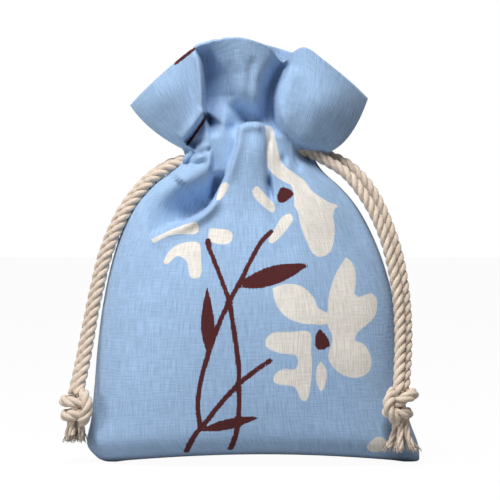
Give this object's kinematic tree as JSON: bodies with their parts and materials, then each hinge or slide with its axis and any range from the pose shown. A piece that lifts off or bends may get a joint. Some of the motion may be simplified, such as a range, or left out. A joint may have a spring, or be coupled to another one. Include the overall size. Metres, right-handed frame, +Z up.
{
  "type": "drawstring pouch",
  "caption": "Small printed linen drawstring pouch drawn shut at a pleated neck, with an open ruffle above its casing and knotted cotton drawcords down both sides.",
  "frame": {"origin": "the middle of the flat underside, on the surface that the pouch stands on", "axes": "+Z up, +X to the right and +Y to the back, seen from the front, which faces -Y"},
  "size_m": [0.1066, 0.045, 0.1249],
  "materials": {
    "printed_linen": "plain-woven light blue linen printed with cream flowers and brown stems, matt",
    "twisted_cotton": "three-strand twisted cream cotton cord, matt"
  },
  "bodies": {
    "root": {"pouch_cloth": "printed_linen", "left_drawcord": "twisted_cotton", "right_drawcord": "twisted_cotton", "left_knot": "twisted_cotton", "right_knot": "twisted_cotton", "left_frayed_end": "twisted_cotton", "right_frayed_end": "twisted_cotton"}
  },
  "joints": []
}
